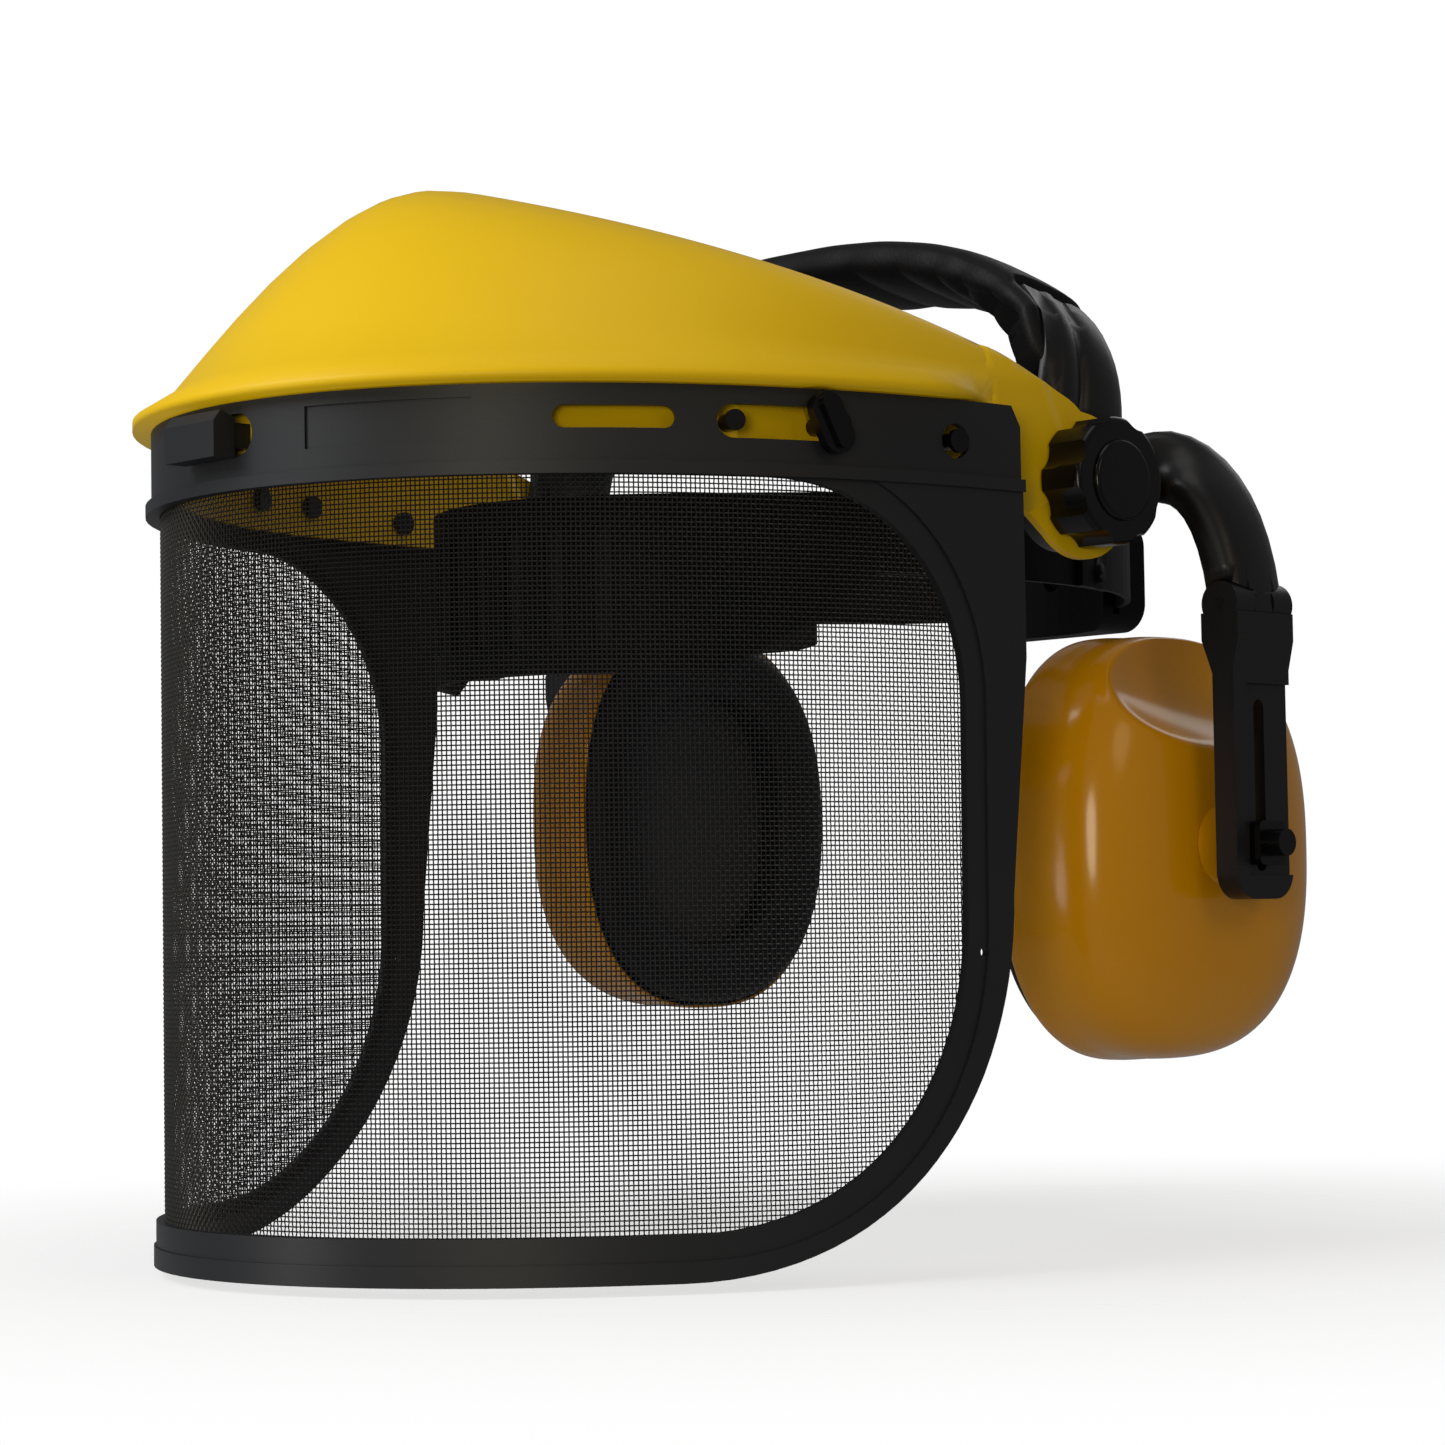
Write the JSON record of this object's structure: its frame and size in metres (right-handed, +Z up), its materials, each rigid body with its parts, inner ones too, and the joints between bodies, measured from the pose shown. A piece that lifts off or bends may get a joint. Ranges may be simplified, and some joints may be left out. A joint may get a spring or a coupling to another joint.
{
  "type": "forestry_face_shield",
  "caption": "Forestry brow guard in yellow with a black wire mesh visor, head harness and yellow ear defenders on a padded headband",
  "frame": {"origin": "midpoint between the two pivots, in the middle of the head opening", "axes": "X to the wearer's left along the pivots, Y to the back of the head, Z up"},
  "size_m": [0.277, 0.3198, 0.2655],
  "materials": {
    "guard_yellow": "satin moulded plastic",
    "cup_yellow": "glossy moulded plastic",
    "frame_black": "satin moulded plastic",
    "mesh_wire": "black coated woven steel wire",
    "trim_black": "glossy moulded plastic",
    "arm_black": "satin moulded plastic",
    "strap_black": "flexible moulded plastic",
    "sweat_cloth": "padded cloth",
    "washer_grey": "smooth plastic",
    "spring_steel": "plain steel",
    "pad_leather": "soft grained leatherette",
    "foam_grey": "open cell foam"
  },
  "bodies": {
    "harness": {"head_band": "strap_black", "sweat_band": "sweat_cloth", "nape_strap_left": "strap_black", "nape_strap_right": "strap_black", "ratchet_back": "strap_black", "ratchet_cover": "strap_black", "pivot_post_left": "trim_black", "pivot_post_right": "trim_black", "friction_washers": "washer_grey"},
    "ratchet": {"ratchet_knob": "trim_black", "ratchet_pinion": "trim_black"},
    "visor": {"brow_guard": "guard_yellow", "visor_frame": "frame_black", "visor_mesh": "mesh_wire", "front_latch": "frame_black", "visor_pegs": "trim_black", "visor_hooks": "trim_black"},
    "pivot_knob_left": {"pivot_knob_left": "trim_black"},
    "pivot_knob_right": {"pivot_knob_right": "trim_black"},
    "headband": {"headband_strip": "spring_steel", "headband_pad": "pad_leather", "socket_left": "arm_black", "socket_right": "arm_black", "elbow_left": "arm_black", "elbow_right": "arm_black", "arm_pin_left": "spring_steel", "arm_pin_right": "spring_steel"},
    "arm_left": {"arm_left": "arm_black"},
    "slider_left": {"slider_left": "trim_black"},
    "ball_left": {"cup_ball_left": "spring_steel"},
    "cup_left": {"cup_shell_left": "cup_yellow", "cup_boss_left": "cup_yellow", "cup_plate_left": "strap_black", "cup_foam_left": "foam_grey", "cushion_left": "pad_leather"},
    "arm_right": {"arm_right": "arm_black"},
    "slider_right": {"slider_right": "trim_black"},
    "ball_right": {"cup_ball_right": "spring_steel"},
    "cup_right": {"cup_shell_right": "cup_yellow", "cup_boss_right": "cup_yellow", "cup_plate_right": "strap_black", "cup_foam_right": "foam_grey", "cushion_right": "pad_leather"}
  },
  "joints": [
    {"name": "visor_tilt", "type": "hinge", "parent": "harness", "child": "visor", "pos_m": [0, 0, 0], "axis": [-1, 0, 0], "range_deg": [0, 55]},
    {"name": "headband_tilt", "type": "hinge", "parent": "harness", "child": "headband", "pos_m": [0, 0, 0], "axis": [-1, 0, 0], "range_deg": [-20, 12]},
    {"name": "ratchet_turn", "type": "hinge", "parent": "harness", "child": "ratchet", "pos_m": [0, 0.1185, -0.01], "axis": [0, 1, 0], "continuous": true},
    {"name": "pivot_knob_left_turn", "type": "hinge", "parent": "harness", "child": "pivot_knob_left", "pos_m": [0.116, 0, 0], "axis": [1, 0, 0], "continuous": true},
    {"name": "arm_left_swing", "type": "hinge", "parent": "headband", "child": "arm_left", "pos_m": [0.1275, 0.0365, -0.03], "axis": [0, -1, 0], "range_deg": [0, 25]},
    {"name": "slider_left_slide", "type": "slide", "parent": "arm_left", "child": "slider_left", "axis": [0, 0, 1], "range_m": [0, 0.026]},
    {"name": "cup_left_turn", "type": "hinge", "parent": "slider_left", "child": "ball_left", "pos_m": [0.116, 0.0365, -0.09], "axis": [1, 0, 0], "range_deg": [-12, 12]},
    {"name": "cup_left_yaw", "type": "hinge", "parent": "ball_left", "child": "cup_left", "pos_m": [0.116, 0.0365, -0.09], "axis": [0, 0, 1], "range_deg": [-8, 8]},
    {"name": "pivot_knob_right_turn", "type": "hinge", "parent": "harness", "child": "pivot_knob_right", "pos_m": [-0.116, 0, 0], "axis": [-1, 0, 0], "continuous": true},
    {"name": "arm_right_swing", "type": "hinge", "parent": "headband", "child": "arm_right", "pos_m": [-0.1275, 0.0365, -0.03], "axis": [0, 1, 0], "range_deg": [0, 25]},
    {"name": "slider_right_slide", "type": "slide", "parent": "arm_right", "child": "slider_right", "axis": [0, 0, 1], "range_m": [-0.013, 0.013]},
    {"name": "cup_right_turn", "type": "hinge", "parent": "slider_right", "child": "ball_right", "pos_m": [-0.116, 0.0365, -0.077], "axis": [1, 0, 0], "range_deg": [-12, 12]},
    {"name": "cup_right_yaw", "type": "hinge", "parent": "ball_right", "child": "cup_right", "pos_m": [-0.116, 0.0365, -0.077], "axis": [0, 0, -1], "range_deg": [-8, 8]}
  ]
}
